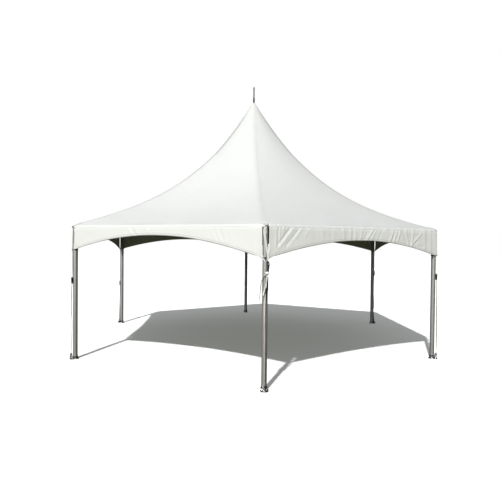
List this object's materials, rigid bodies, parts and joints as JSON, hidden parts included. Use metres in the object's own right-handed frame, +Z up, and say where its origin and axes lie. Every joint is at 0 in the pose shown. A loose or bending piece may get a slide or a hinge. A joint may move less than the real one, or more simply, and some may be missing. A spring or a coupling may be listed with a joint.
{
  "type": "hexagonal high-peak frame tent",
  "caption": "Marquee tent with a ring of tube posts and rails, a short hung mast that lifts white cloth to a high peak, arched valances and corner straps with ratchets.",
  "frame": {"origin": "ground level, in the middle of the ring of posts", "axes": "+Z up, one post faces the front at -Y, +X to the right as seen from the front"},
  "size_m": [6.279, 7.223, 5.153],
  "materials": {
    "aluminium_tube": "satin extruded tube, slightly weathered",
    "cast_aluminium": "matt casting",
    "galvanised_steel": "galvanised, bright",
    "white_vinyl": "smooth coated cloth with a slight sheen",
    "white_webbing": "woven flat webbing",
    "black_ratchet": "black, satin",
    "painted_finial": "blue-grey, satin"
  },
  "bodies": {
    "root": {"foot_front": "galvanised_steel", "leg_front": "aluminium_tube", "corner_fitting_front": "cast_aluminium", "cross_cable_front": "galvanised_steel", "corner_strap_front": "white_webbing", "foot_right_front": "galvanised_steel", "leg_right_front": "aluminium_tube", "corner_fitting_right_front": "cast_aluminium", "cross_cable_right_front": "galvanised_steel", "corner_strap_right_front": "white_webbing", "foot_right_back": "galvanised_steel", "leg_right_back": "aluminium_tube", "corner_fitting_right_back": "cast_aluminium", "cross_cable_right_back": "galvanised_steel", "corner_strap_right_back": "white_webbing", "foot_back": "galvanised_steel", "leg_back": "aluminium_tube", "corner_fitting_back": "cast_aluminium", "cross_cable_back": "galvanised_steel", "corner_strap_back": "white_webbing", "foot_left_back": "galvanised_steel", "leg_left_back": "aluminium_tube", "corner_fitting_left_back": "cast_aluminium", "cross_cable_left_back": "galvanised_steel", "corner_strap_left_back": "white_webbing", "foot_left_front": "galvanised_steel", "leg_left_front": "aluminium_tube", "corner_fitting_left_front": "cast_aluminium", "cross_cable_left_front": "galvanised_steel", "corner_strap_left_front": "white_webbing", "eave_rail_front_right": "aluminium_tube", "valance_front_right": "white_vinyl", "eave_rail_right": "aluminium_tube", "valance_right": "white_vinyl", "eave_rail_back_right": "aluminium_tube", "valance_back_right": "white_vinyl", "eave_rail_back_left": "aluminium_tube", "valance_back_left": "white_vinyl", "eave_rail_left": "aluminium_tube", "valance_left": "white_vinyl", "eave_rail_front_left": "aluminium_tube", "valance_front_left": "white_vinyl", "canopy_top": "white_vinyl", "centre_mast": "aluminium_tube", "peak_finial": "painted_finial"}
  },
  "joints": []
}
